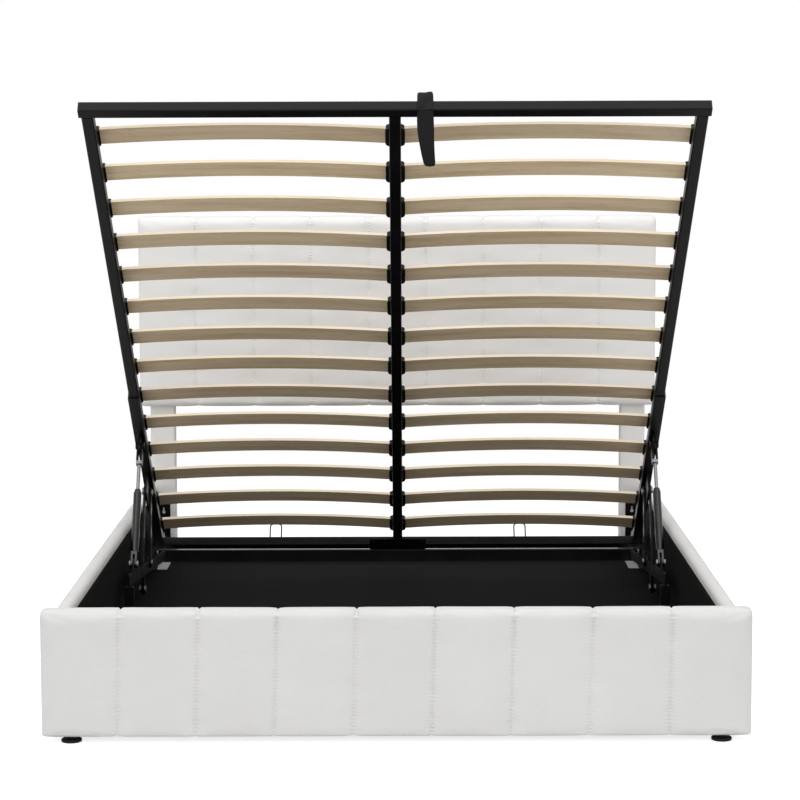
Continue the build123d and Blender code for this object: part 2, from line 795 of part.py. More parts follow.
def slats():
    rows = range(slat_rows)
    for row in rows:
        pair = [raised(slat) for slat in both_sides(slat_solid(row, 0))]
        save("slat_row_%02d" % (row + 1), *pair)
    save("beam_slat_holders", *[raised(beam_holder(row)) for row in rows])
    right = [side_holder(row) for row in rows]
    save("side_slat_holders_right", *[raised(holder) for holder in right])
    save("side_slat_holders_left", *[raised(mirror(holder, about=Plane.YZ)) for holder in right])


def hanging_web(start, end, drop):
    """Plate that hangs under a side tube, with rounded lower corners."""
    top = -tube_half - flange_thickness
    corners = [(start, top), (end, top), (end, -drop), (start, -drop)]
    sheet = make_face(Polyline(*corners, close=True))
    return fillet(sheet.vertices().group_by(Axis.Y)[0], bracket_web_radius)


def bottom_flange(start, end, x_low, x_high):
    """Flange welded to the underside of a side tube."""
    return block((x_low, start, -tube_half - flange_thickness), (x_high, end, -tube_half))


def strut_bracket():
    """Bracket that wraps the side tube's outer face and takes the strut's upper pin in a slot."""
    low = -strut_lift_drop - pin_radius - strut_slot_down
    high = pin_radius + strut_slot_up - strut_lift_drop
    reach = (high - low) / 2
    slot_end = strut_lift_along + strut_slot_along
    web_start = strut_lift_along - reach - strut_web_margin
    web_end = slot_end + reach + strut_web_margin
    sheet = hanging_web(web_start, web_end, strut_web_margin - low)
    slot = SlotCenterToCenter(strut_slot_along, 2 * reach)
    sheet -= Pos((strut_lift_along + slot_end) / 2, (low + high) / 2) * slot
    bracket = plate(sheet, plate_low, plate_thickness)
    start = web_start - strut_bracket_front
    end = web_end + strut_bracket_back
    outer = half_mechanism + tube_half
    inner = half_mechanism - tube_half + tube_wall
    bracket += bottom_flange(start, end, inner, outer + flange_thickness)
    side_low = (outer, start, -tube_half - flange_thickness)
    side_high = (outer + flange_thickness, end, outer_flange_rise)
    return bracket + block(side_low, side_high)


def arm_bracket():
    """Bracket under the side tube for the upper pins of both arms."""
    sheet = hanging_web(arm_bracket_start, arm_bracket_end, arm_bracket_drop)
    sheet -= Pos(front_lift_along, -front_lift_drop) * Circle(pin_radius)
    sheet -= Pos(rear_lift_along, -rear_lift_drop) * Circle(pin_radius + open_pin_clearance)
    bracket = plate(sheet, plate_low, plate_thickness)
    x_high = half_mechanism + tube_half - tube_wall
    return bracket + bottom_flange(arm_bracket_start, arm_bracket_end, plate_low, x_high)


def platform_brackets():
    save("strut_brackets", *[raised(piece) for piece in both_sides(strut_bracket())])
    save("arm_brackets", *[raised(piece) for piece in both_sides(arm_bracket())])


def strap_loop():
    """Webbing loop round the front bar, with its hump above the bar."""
    inner = tube_half + strap_slack
    outer = inner + strap_thickness
    ring = Rectangle(2 * outer, 2 * outer) - Rectangle(2 * inner, 2 * inner)
    loop = plate(ring, strap_offset - strap_width / 2, strap_width)
    hump = ThreePointArc((-outer, outer), (-inner / 2, outer + strap_hump), (inner / 2, outer))
    fold = plate(make_face([hump, Line((inner / 2, outer), (-outer, outer))]),
                 strap_offset - strap_width / 2, strap_width)
    return loop + fold


def strap_tail():
    """Free end of the strap that hangs from the lower front edge of the loop."""
    edge = tube_half + strap_slack + strap_thickness
    depth, z = platform_point(-edge, -edge)
    y = at_depth(depth) - strap_thickness / 2 - strap_slack
    widths = [strap_width, (strap_width + strap_tail_end_width) / 2, strap_tail_end_width]
    drops = [0, strap_tail_length / 2, strap_tail_length]
    shifts = [0, -strap_sway, strap_sway / 2]
    sections = []
    for width, drop, shift in zip(widths, drops, shifts):
        x = strap_offset + (drop / strap_tail_length) * (strap_width - strap_tail_end_width) / 2
        level = Plane(origin=(x, y + shift, z - drop), z_dir=(0, 0, 1))
        sections.append(level * Rectangle(width, strap_thickness))
    return loft(sections)


def base_bolts():
    """Bolt heads that hold the crossbar's end plates and the base bars."""
    heads = []
    for side in (-1, 1):
        y = at_depth(crossbar_depth) + side * (crossbar_width / 2 + bolt_radius + fit_gap)
        place = Pos(y, crossbar_z + crossbar_end_height / 2 - 2 * bolt_radius)
        x_low = lining_half - crossbar_end_plate - bolt_head
        heads += both_sides(plate(place * Circle(bolt_radius), x_low, bolt_head))
    return heads


footboard()
headboard()
save_sides("side_rail", side_rail())
linings()
floor()
ledges()
save("glides", *both_sides(foot_glide()), *both_sides(leg_glide()), *both_sides(post_foot()))
save("leg_brackets", *both_sides(leg_bracket()))
save("corner_brackets", *both_sides(corner_bracket()))
save_sides("base_bar", base_bar())
save("posts", *both_sides(post()))
save("head_crossbar", crossbar())
save("base_bolts", *base_bolts())
arms()
struts()
tubes()
slats()
platform_brackets()
save("pull_strap_loop", raised(strap_loop()))
save("pull_strap_tail", strap_tail())
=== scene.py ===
import json
import math

import bmesh
import bpy
import numpy as np
from mathutils import Matrix, Vector
from mathutils import noise as mnoise
from mathutils.bvhtree import BVHTree

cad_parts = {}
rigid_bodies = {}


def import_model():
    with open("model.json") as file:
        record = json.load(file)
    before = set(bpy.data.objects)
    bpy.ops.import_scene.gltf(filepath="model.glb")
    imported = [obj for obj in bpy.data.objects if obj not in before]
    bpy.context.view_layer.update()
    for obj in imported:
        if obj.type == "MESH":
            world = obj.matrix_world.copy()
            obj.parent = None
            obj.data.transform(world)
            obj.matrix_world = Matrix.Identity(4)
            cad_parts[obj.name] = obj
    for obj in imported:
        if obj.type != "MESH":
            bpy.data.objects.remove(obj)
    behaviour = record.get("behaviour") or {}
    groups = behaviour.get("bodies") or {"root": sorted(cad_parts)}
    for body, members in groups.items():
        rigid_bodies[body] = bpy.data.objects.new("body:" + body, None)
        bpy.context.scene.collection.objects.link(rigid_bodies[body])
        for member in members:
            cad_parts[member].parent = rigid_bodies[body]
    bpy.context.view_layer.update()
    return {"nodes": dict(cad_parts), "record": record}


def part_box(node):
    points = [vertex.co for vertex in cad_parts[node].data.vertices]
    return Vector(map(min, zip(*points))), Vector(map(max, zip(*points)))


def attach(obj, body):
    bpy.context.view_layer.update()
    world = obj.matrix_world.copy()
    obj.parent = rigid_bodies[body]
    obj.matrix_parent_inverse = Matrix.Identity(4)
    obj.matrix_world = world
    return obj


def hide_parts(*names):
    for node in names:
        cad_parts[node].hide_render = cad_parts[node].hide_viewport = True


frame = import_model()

NODES = frame["nodes"]
RECORD = frame["record"]


scene = bpy.context.scene

# Sizes of the bed in metres, as in the CAD model
BED_LENGTH = 2.16
HALF_WIDTH = 0.8
CHANNELS = 9
FOOT_THICK = 0.055
FOOT_LOW = 0.016
FOOT_HIGH = 0.285
HEAD_THICK = 0.080
HEAD_LOW = 0.533
HEAD_HIGH = 0.583
STITCH_PITCH = 0.0085
LINING_THICK = 0.002

# A gas strut in the photographed pose, as depth behind the footboard and height
STRUT_FOOT = (1.180, 0.201)
STRUT_TOP = (1.3806, 0.5014)
FORK_LENGTH = 0.0505
COLLAR_END = 0.0595


def at_depth(value):
    """Y of a point so far behind the footboard's outer face."""
    return value - BED_LENGTH / 2


# ---------------------------------------------------------------- materials


def new_material(name):
    mat = bpy.data.materials.new(name)
    mat.use_nodes = True
    tree = mat.node_tree
    shader = tree.nodes["Principled BSDF"]
    return mat, tree, shader


def node(tree, kind, **values):
    made = tree.nodes.new(kind)
    for key, value in values.items():
        if hasattr(made, key):
            setattr(made, key, value)
        else:
            made.inputs[key].default_value = value
    return made


def object_coords(tree, scale=(1, 1, 1), rotation=(0, 0, 0)):
    coords = node(tree, "ShaderNodeTexCoord")
    mapping = node(tree, "ShaderNodeMapping")
    mapping.inputs["Scale"].default_value = scale
    mapping.inputs["Rotation"].default_value = rotation
    tree.links.new(coords.outputs["Object"], mapping.inputs["Vector"])
    return mapping.outputs["Vector"]


def noise_tex(tree, vector, scale, detail=3.0, rough=0.55):
    tex = node(tree, "ShaderNodeTexNoise")
    tex.inputs["Scale"].default_value = scale
    tex.inputs["Detail"].default_value = detail
    tex.inputs["Roughness"].default_value = rough
    tree.links.new(vector, tex.inputs["Vector"])
    return tex.outputs["Fac"]


def wave_tex(tree, vector, direction, scale, distortion=0.0, detail=0.0):
    tex = node(tree, "ShaderNodeTexWave", wave_type="BANDS", bands_direction=direction)
    tex.inputs["Scale"].default_value = scale
    tex.inputs["Distortion"].default_value = distortion
    tex.inputs["Detail"].default_value = detail
    tree.links.new(vector, tex.inputs["Vector"])
    return tex.outputs["Fac"]


def math_node(tree, operation, a, b=None):
    made = node(tree, "ShaderNodeMath", operation=operation)
    for socket, value in zip(made.inputs, (a, b)):
        if value is None:
            continue
        if isinstance(value, (int, float)):
            socket.default_value = value
        else:
            tree.links.new(value, socket)
    return made.outputs[0]


def ramp(tree, factor, stops):
    made = node(tree, "ShaderNodeValToRGB")
    elements = made.color_ramp.elements
    while len(elements) < len(stops):
        elements.new(0.5)
    for element, (place, colour) in zip(elements, stops):
        element.position = place
        element.color = (*colour, 1)
    tree.links.new(factor, made.inputs["Fac"])
    return made.outputs["Color"]


def mix_colour(tree, factor, a, b):
    made = node(tree, "ShaderNodeMix", data_type="RGBA")
    sockets = [s for s in made.inputs if s.enabled]
    for socket, value in zip(sockets, (factor, a, b)):
        if isinstance(value, (int, float)):
            socket.default_value = value
        elif isinstance(value, tuple):
            socket.default_value = (*value, 1)
        else:
            tree.links.new(value, socket)
    return [s for s in made.outputs if s.enabled][0]


def bump(tree, shader, height, strength, distance, chain=None):
    made = node(tree, "ShaderNodeBump")
    made.inputs["Strength"].default_value = strength
    made.inputs["Distance"].default_value = distance
    tree.links.new(height, made.inputs["Height"])
    if chain is not None:
        tree.links.new(chain, made.inputs["Normal"])
    tree.links.new(made.outputs["Normal"], shader.inputs["Normal"])
    return made.outputs["Normal"]


def upholstery():
    """White woven polyester with a slub, a soft sheen and faint handling marks."""
    mat, tree, shader = new_material("white_woven_fabric")
    here = object_coords(tree)
    warp = wave_tex(tree, here, "X", 420.0, 1.2, 1.0)
    weft = wave_tex(tree, here, "Z", 420.0, 1.2, 1.0)
    along = wave_tex(tree, here, "Y", 420.0, 1.2, 1.0)
    threads = math_node(tree, "ADD", math_node(tree, "MULTIPLY", warp, weft), along)
    slub_space = object_coords(tree, (140, 140, 900))
    slub = noise_tex(tree, slub_space, 1.0, 2.0)
    slub_across = noise_tex(tree, object_coords(tree, (900, 140, 140)), 1.0, 2.0)
    mottling = noise_tex(tree, here, 5.0, 3.0)
    tint = math_node(tree, "MULTIPLY", math_node(tree, "ADD", slub, slub_across), 0.5)
    colour = ramp(tree, tint, [(0.25, (0.79, 0.785, 0.775)), (0.75, (0.872, 0.868, 0.86))])
    soft = ramp(tree, mottling, [(0.3, (0.955, 0.953, 0.95)), (0.7, (1.0, 1.0, 1.0))])
    product = node(tree, "ShaderNodeMix", data_type="RGBA", blend_type="MULTIPLY")
    sockets = [s for s in product.inputs if s.enabled]
    sockets[0].default_value = 1.0
    tree.links.new(colour, sockets[1])
    tree.links.new(soft, sockets[2])
    result = [s for s in product.outputs if s.enabled][0]
    tree.links.new(result, shader.inputs["Base Color"])
    shader.inputs["Roughness"].default_value = 0.88
    shader.inputs["Specular IOR Level"].default_value = 0.25
    shader.inputs["Sheen Weight"].default_value = 0.12
    shader.inputs["Sheen Roughness"].default_value = 0.5
    first = bump(tree, shader, threads, 0.18, 0.0004)
    second = bump(tree, shader, tint, 0.25, 0.0006, first)
    creases = noise_tex(tree, object_coords(tree, (22, 22, 16)), 1.0, 3.0)
    bump(tree, shader, creases, 0.16, 0.004, second)
    return mat


def black_nonwoven(name, level, scale=260.0):
    """Black spun lining with its pressed dots."""
    mat, tree, shader = new_material(name)
    here = object_coords(tree, (1, 1, 1), (0, 0, math.radians(45)))
    dots = node(tree, "ShaderNodeTexVoronoi", feature="F1")
    dots.inputs["Scale"].default_value = scale
    dots.inputs["Randomness"].default_value = 0.15
    tree.links.new(here, dots.inputs["Vector"])
    cloud = noise_tex(tree, object_coords(tree), 7.0, 4.0)
    fibres = noise_tex(tree, object_coords(tree, (500, 60, 500)), 1.0, 3.0)
    mixed = math_node(tree, "ADD", math_node(tree, "MULTIPLY", cloud, 0.6),
                      math_node(tree, "MULTIPLY", fibres, 0.4))
    colour = ramp(tree, mixed, [(0.3, (level * 0.65,) * 3), (0.7, (level * 1.45,) * 3)])
    tree.links.new(colour, shader.inputs["Base Color"])
    shader.inputs["Roughness"].default_value = 0.9
    shader.inputs["Specular IOR Level"].default_value = 0.08
    first = bump(tree, shader, dots.outputs["Distance"], 0.3, 0.0006)
    second = bump(tree, shader, fibres, 0.2, 0.0004, first)
    wrinkle = noise_tex(tree, object_coords(tree, (9, 5, 9)), 1.0, 2.0)
    bump(tree, shader, wrinkle, 0.35, 0.006, second)
    return mat


def powder_coat(name="black_powder_coat", level=0.0042):
    """Satin black powder coat with its fine orange peel and rubbed edges."""
    mat, tree, shader = new_material(name)
    here = object_coords(tree)
    peel = noise_tex(tree, here, 900.0, 2.0)
    cloud = noise_tex(tree, here, 12.0, 3.0)
    base = ramp(tree, cloud, [(0.3, (level * 0.8,) * 3), (0.7, (level * 1.3,) * 3)])
    edge = node(tree, "ShaderNodeBevel", samples=4)
    edge.inputs["Radius"].default_value = 0.0012
    geometry = node(tree, "ShaderNodeNewGeometry")
    dot = node(tree, "ShaderNodeVectorMath", operation="DOT_PRODUCT")
    tree.links.new(edge.outputs["Normal"], dot.inputs[0])
    tree.links.new(geometry.outputs["Normal"], dot.inputs[1])
    worn = ramp(tree, dot.outputs["Value"], [(0.86, (1, 1, 1)), (0.985, (0, 0, 0))])
    patch = ramp(tree, noise_tex(tree, here, 60.0, 3.0), [(0.55, (0, 0, 0)), (0.75, (1, 1, 1))])
    rub = math_node(tree, "MULTIPLY", worn, patch)
    rub = math_node(tree, "MULTIPLY", rub, 0.5)
    colour = mix_colour(tree, rub, base, (0.04, 0.04, 0.041))
    tree.links.new(colour, shader.inputs["Base Color"])
    rough = ramp(tree, cloud, [(0.3, (0.34,) * 3), (0.75, (0.48,) * 3)])
    tree.links.new(rough, shader.inputs["Roughness"])
    shader.inputs["Specular IOR Level"].default_value = 0.11
    bump(tree, shader, peel, 0.12, 0.0003)
    return mat


def plastic(name="black_moulded_plastic", level=0.0055):
    mat, tree, shader = new_material(name)
    here = object_coords(tree)
    grain = noise_tex(tree, here, 700.0, 3.0)
    cloud = noise_tex(tree, here, 25.0, 2.0)
    base = ramp(tree, cloud, [(0.3, (level * 0.8,) * 3), (0.7, (level * 1.3,) * 3)])
    tree.links.new(base, shader.inputs["Base Color"])
    rough = ramp(tree, grain, [(0.3, (0.42,) * 3), (0.7, (0.58,) * 3)])
    tree.links.new(rough, shader.inputs["Roughness"])
    shader.inputs["Specular IOR Level"].default_value = 0.16
    bump(tree, shader, grain, 0.2, 0.0003)
    return mat


def gloss_paint():
    """Black lacquer of the gas struts' cylinders."""
    mat, tree, shader = new_material("black_lacquer")
    cloud = noise_tex(tree, object_coords(tree), 30.0, 3.0)
    base = ramp(tree, cloud, [(0.3, (0.003,) * 3), (0.7, (0.006,) * 3)])
    tree.links.new(base, shader.inputs["Base Color"])
    rough = ramp(tree, cloud, [(0.3, (0.12,) * 3), (0.7, (0.2,) * 3)])
    tree.links.new(rough, shader.inputs["Roughness"])
    shader.inputs["Specular IOR Level"].default_value = 0.5
    return mat


def metal(name, colour, roughness, scratch_axis=(900, 20, 900)):
    mat, tree, shader = new_material(name)
    shader.inputs["Metallic"].default_value = 1.0
    lines = noise_tex(tree, object_coords(tree, scratch_axis), 1.0, 2.0)
    dark = tuple(c * 0.82 for c in colour)
    tree.links.new(ramp(tree, lines, [(0.3, dark), (0.7, colour)]), shader.inputs["Base Color"])
    low, high = roughness
    tree.links.new(ramp(tree, lines, [(0.3, (low,) * 3), (0.7, (high,) * 3)]),
                   shader.inputs["Roughness"])
    bump(tree, shader, lines, 0.06, 0.0002)
    return mat


def slat_wood():
    """Bent birch laminate: pale veneer faces and cream edges."""
    mat, tree, shader = new_material("birch_laminate")
    angle = math.radians(40)
    flat = object_coords(tree, (1, 1, 1), (angle, 0, 0))
    coords = node(tree, "ShaderNodeTexCoord")
    info = node(tree, "ShaderNodeObjectInfo")
    shift = node(tree, "ShaderNodeVectorMath", operation="ADD")
    scaled = node(tree, "ShaderNodeVectorMath", operation="SCALE")
    scaled.inputs[0].default_value = (37.0, 11.0, 5.0)
    tree.links.new(info.outputs["Random"], scaled.inputs["Scale"])
    tree.links.new(flat, shift.inputs[0])
    tree.links.new(scaled.outputs[0], shift.inputs[1])
    stretched = node(tree, "ShaderNodeMapping")
    stretched.inputs["Scale"].default_value = (2.2, 60.0, 60.0)
    tree.links.new(shift.outputs[0], stretched.inputs["Vector"])
    grain = noise_tex(tree, stretched.outputs[0], 1.0, 5.0, 0.6)
    fine = node(tree, "ShaderNodeMapping")
    fine.inputs["Scale"].default_value = (14.0, 420.0, 420.0)
    tree.links.new(shift.outputs[0], fine.inputs["Vector"])
    pores = noise_tex(tree, fine.outputs[0], 1.0, 3.0)
    face = ramp(tree, grain, [(0.25, (0.58, 0.43, 0.265)), (0.5, (0.735, 0.585, 0.385)),
                              (0.75, (0.82, 0.685, 0.485))])
    speck = ramp(tree, pores, [(0.28, (0.62, 0.6, 0.58)), (0.42, (1, 1, 1))])
    product = node(tree, "ShaderNodeMix", data_type="RGBA", blend_type="MULTIPLY")
    sockets = [s for s in product.inputs if s.enabled]
    sockets[0].default_value = 0.75
    tree.links.new(face, sockets[1])
    tree.links.new(speck, sockets[2])
    faces = [s for s in product.outputs if s.enabled][0]
    plies = ramp(tree, grain, [(0.3, (0.72, 0.60, 0.43)), (0.7, (0.86, 0.765, 0.61))])
    side = node(tree, "ShaderNodeVectorMath", operation="DOT_PRODUCT")
    side.inputs[1].default_value = (0, math.cos(angle), -math.sin(angle))
    tree.links.new(coords.outputs["Normal"], side.inputs[0])
    edge = ramp(tree, math_node(tree, "ABSOLUTE", side.outputs["Value"]),
                [(0.75, (0, 0, 0)), (0.9, (1, 1, 1))])
    tone = ramp(tree, info.outputs["Random"], [(0.0, (0.86, 0.84, 0.86)), (1.0, (1.0, 1.0, 0.97))])
    colour = mix_colour(tree, edge, faces, plies)
    last = node(tree, "ShaderNodeMix", data_type="RGBA", blend_type="MULTIPLY")
    sockets = [s for s in last.inputs if s.enabled]
    sockets[0].default_value = 1.0
    tree.links.new(colour, sockets[1])
    tree.links.new(tone, sockets[2])
    tree.links.new([s for s in last.outputs if s.enabled][0], shader.inputs["Base Color"])
    rough = ramp(tree, grain, [(0.3, (0.5,) * 3), (0.7, (0.64,) * 3)])
    tree.links.new(rough, shader.inputs["Roughness"])
    shader.inputs["Specular IOR Level"].default_value = 0.35
    bump(tree, shader, pores, 0.15, 0.0004)
    return mat


def plain_timber():
    mat, tree, shader = new_material("frame_pine")
    grain = noise_tex(tree, object_coords(tree, (3, 70, 70)), 1.0, 5.0, 0.6)
    rings = wave_tex(tree, object_coords(tree, (0.6, 6, 6)), "Z", 5.0, 6.0, 2.0)
    mixed = math_node(tree, "MULTIPLY", math_node(tree, "ADD", grain, rings), 0.5)
    colour = ramp(tree, mixed, [(0.25, (0.47, 0.32, 0.17)), (0.7, (0.68, 0.52, 0.33))])
    tree.links.new(colour, shader.inputs["Base Color"])
    shader.inputs["Roughness"].default_value = 0.7
    bump(tree, shader, grain, 0.2, 0.0006)
    return mat


def webbing_material():
    """Black polyester webbing with its ribs across the width."""
    mat, tree, shader = new_material("black_webbing")
    here = object_coords(tree)
    ribs = wave_tex(tree, here, "X", 130.0, 0.6, 1.0)
    picks = wave_tex(tree, here, "Z", 230.0, 0.6, 1.0)
    threads = math_node(tree, "MULTIPLY", ribs, picks)
    colour = ramp(tree, threads, [(0.1, (0.006, 0.006, 0.0065)), (0.8, (0.02, 0.02, 0.021))])
    tree.links.new(colour, shader.inputs["Base Color"])
    shader.inputs["Roughness"].default_value = 0.8
    shader.inputs["Specular IOR Level"].default_value = 0.15
    bump(tree, shader, threads, 0.5, 0.0008)
    return mat


FABRIC = upholstery()
LINING = black_nonwoven("black_lining", 0.0045)
FLOORING = black_nonwoven("black_floor_cover", 0.003, 220.0)
STEEL = powder_coat()
PLASTIC = plastic()
CHROME = metal("chromed_rod", (0.27, 0.27, 0.275), (0.28, 0.4))
LACQUER = gloss_paint()
ZINC = metal("zinc_plating", (0.24, 0.24, 0.245), (0.36, 0.48), (300, 300, 300))
WOOD = slat_wood()
TIMBER = plain_timber()
WEBBING = webbing_material()
BY_SLOT = {
    "white_upholstery": FABRIC,
    "black_lining": LINING,
    "frame_timber": TIMBER,
    "slat_wood": WOOD,
    "black_plastic": PLASTIC,
    "black_webbing": WEBBING,
    "chrome_rod": CHROME,
    "zinc_fasteners": ZINC,
    "black_steel": STEEL,
}

for entry in RECORD["subparts"]:
    held = NODES[entry["node"]]
    held.data.materials.clear()
    mat = BY_SLOT[entry["material_slot"]]
    if entry["node"].startswith("floor_panel"):
        mat = FLOORING
    if entry["node"] == "strut_cylinders":
        mat = LACQUER
    held.data.materials.append(mat)


# ------------------------------------------------------------------- meshes


def add_mesh(name, verts, faces, material, body, smooth=True):
    mesh = bpy.data.meshes.new(name)
    mesh.from_pydata([tuple(v) for v in verts], [], faces)
    mesh.update()
    made = bpy.data.objects.new(name, mesh)
    scene.collection.objects.link(made)
    mesh.materials.append(material)
    if smooth:
        mesh.shade_smooth()
    made["rides"] = body
    return made


def outward(made):
    """Turn every face outwards."""
    bm = bmesh.new()
    bm.from_mesh(made.data)
    bmesh.ops.recalc_face_normals(bm, faces=bm.faces)
    bm.to_mesh(made.data)
    bm.free()


def apply_modifiers(made):
    depsgraph = bpy.context.evaluated_depsgraph_get()
    mesh = bpy.data.meshes.new_from_object(made.evaluated_get(depsgraph), depsgraph=depsgraph)
    made.modifiers.clear()
    old = made.data
    made.data = mesh
    bpy.data.meshes.remove(old)


def get_points(made):
    flat = np.empty(len(made.data.vertices) * 3)
    made.data.vertices.foreach_get("co", flat)
    return flat.reshape(-1, 3)


def set_points(made, points):
    made.data.vertices.foreach_set("co", points.reshape(-1))
    made.data.update()


def subdivide(made, levels=1):
    modifier = made.modifiers.new("Smooth", "SUBSURF")
    modifier.levels = levels
    modifier.render_levels = levels
    apply_modifiers(made)
    made.data.shade_smooth()


def inflate(made, pins, pressure, frames, cap):
    """Swell a padded cover by cloth pressure, with its sewn lines held."""
    start = get_points(made)
    group = made.vertex_groups.new(name="pins")
    for index, weight in pins:
        group.add([int(index)], weight, "REPLACE")
    cloth = made.modifiers.new("Cloth", "CLOTH")
    settings = cloth.settings
    settings.vertex_group_mass = "pins"
    settings.use_pressure = True
    settings.uniform_pressure_force = pressure
    settings.effector_weights.gravity = 0.0
    settings.quality = 5
    settings.mass = 0.4
    settings.tension_stiffness = 15
    settings.compression_stiffness = 15
    settings.shear_stiffness = 5
    settings.bending_stiffness = 0.6
    cloth.collision_settings.use_collision = False
    cloth.point_cache.frame_start = 1
    cloth.point_cache.frame_end = frames
    for number in range(1, frames + 1):
        scene.frame_set(number)
    apply_modifiers(made)
    moved = get_points(made) - start
    length = np.linalg.norm(moved, axis=1)
    limit = np.minimum(1.0, cap / np.maximum(length, 1e-9))
    set_points(made, start + moved * limit[:, None])
    scene.frame_set(1)
    made.vertex_groups.clear()


def rounded_section(low_y, high_y, low_z, high_z, radii, counts):
    """Closed outline in Y and Z with rounded corners and a fixed number of points."""
    r_front, r_back, r_foot = radii
    flat_z, flat_y, arc = counts
    corners_of = [
        (low_y + r_foot, low_z + r_foot, r_foot, math.pi),
        (high_y - r_back, low_z + r_back, r_back, 1.5 * math.pi),
        (high_y - r_back, high_z - r_back, r_back, 0.0),
        (low_y + r_front, high_z - r_front, r_front, 0.5 * math.pi),
    ]
    points = []
    spans = [flat_y, flat_z, flat_y, flat_z]
    for index, (cy, cz, radius, start) in enumerate(corners_of):
        for step in range(arc + 1):
            angle = start + 0.5 * math.pi * step / arc
            points.append((cy + radius * math.cos(angle), cz + radius * math.sin(angle)))
        nxt = corners_of[(index + 1) % 4]
        first = points[-1]
        last = (nxt[0] + nxt[2] * math.cos(nxt[3]), nxt[1] + nxt[2] * math.sin(nxt[3]))
        for step in range(1, spans[index]):
            share = step / spans[index]
            points.append((first[0] + (last[0] - first[0]) * share,
                           first[1] + (last[1] - first[1]) * share))
    return points


def end_faces(start, counts):
    """Close the end of a rounded section with a ladder of quads and two small caps."""
    flat_z, flat_y, arc = counts
    group = 2 * (arc + 1) + flat_y - 1
    side = flat_z - 1
    bottom = [start + k for k in range(group)]
    back = [start + group + k for k in range(side)]
    top = [start + group + side + k for k in range(group)]
    front = [start + 2 * group + side + k for k in range(side)]
    near = [bottom[0]] + front[::-1] + [top[-1]]
    far = [bottom[-1]] + back + [top[0]]
    ladder = [(near[k], near[k + 1], far[k + 1], far[k]) for k in range(side + 1)]
    return ladder + [tuple(bottom), tuple(top)]


def channelled_cover(name, y_front, y_back, low_z, high_z, crown, end_round, radii, counts,
                     columns, lean, body, nodes, stretch, cap, pucker, recess=None):
    """Padded cover of a headboard or footboard, sewn into upright channels.

    crown is how far the sewn lines lie below the padding, cap is how far the cloth
    simulation may swell it, and recess is the open rectangle in its back.
    """
    gap = 0.002
    frames = 14
    pitch = 2 * HALF_WIDTH / CHANNELS
    seams = [-HALF_WIDTH + pitch * k for k in range(1, CHANNELS)]
    xs = []
    for channel in range(CHANNELS):
        start = -HALF_WIDTH + pitch * channel
        for step in range(columns):
            xs.append(start + pitch * 0.5 * (1 - math.cos(math.pi * step / columns)))
    xs.append(HALF_WIDTH)
    rings = []
    for x in xs:
        nearest = min((abs(x - s) for s in seams))
        share = max(0.0, 1 - nearest / (pitch / 2))
        inset = crown * share ** 14
        edge = max(0.0, (abs(x) - (HALF_WIDTH - end_round)) / end_round)
        inset += end_round * 0.5 * (1 - math.sqrt(max(0.0, 1 - min(edge, 1.0) ** 2)))
        section = rounded_section(y_front + gap + inset, y_back, low_z + inset * 0.5,
                                  high_z - inset, radii, counts)
        rings.append((x, section))
    middle = (y_front + y_back) / 2
    half = (y_back - y_front) / 2
    verts, faces = [], []
    count = len(rings[0][1])

    def put_ring(x, section):
        for y, z in section:
            verts.append((x, y, z))

    def shrunk(section, share):
        made = []
        for y, z in section:
            spine_z = min(max(z, low_z + half), high_z - half)
            made.append((middle + (y - middle) * share, spine_z + (z - spine_z) * share))
        return made

    caps = (0.12, 0.4, 0.7, 0.9)
    for share in caps:
        put_ring(-HALF_WIDTH, shrunk(rings[0][1], share))
    for x, section in rings:
        put_ring(x, section)
    for share in reversed(caps):
        put_ring(HALF_WIDTH, shrunk(rings[-1][1], share))
    total = len(rings) + 2 * len(caps)
    for ring in range(total - 1):
        for k in range(count):
            a = ring * count + k
            b = ring * count + (k + 1) % count
            faces.append((a, b, b + count, a + count))
    for start in (0, (total - 1) * count):
        faces += end_faces(start, counts)
    made = add_mesh(name, verts, faces, FABRIC, body)
    outward(made)
    points = get_points(made)
    pins = []
    for index, (x, y, z) in enumerate(points):
        on_seam = min(abs(x - s) for s in seams) < 1e-5
        if y > y_back - 0.004 or on_seam or abs(x) > HALF_WIDTH - 1e-5:
            pins.append((index, 1.0))
    inflate(made, pins, 2.4, frames, cap)
    subdivide(made, 1)
    points = get_points(made)
    finish_channels(points, seams, y_back, low_z, high_z, lean, pucker)
    if recess:
        half_width, recess_low, recess_high = recess
        inside = (points[:, 1] > y_back - 0.001) & (np.abs(points[:, 0]) < half_width)
        inside &= (points[:, 2] > recess_low) & (points[:, 2] < recess_high)
        points[inside, 1] -= 0.007
    points[:, 0] *= stretch
    points[:, 1] = np.maximum(points[:, 1], y_front - 0.001)
    set_points(made, points)
    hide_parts(*nodes)
    return made, [s * stretch for s in seams]


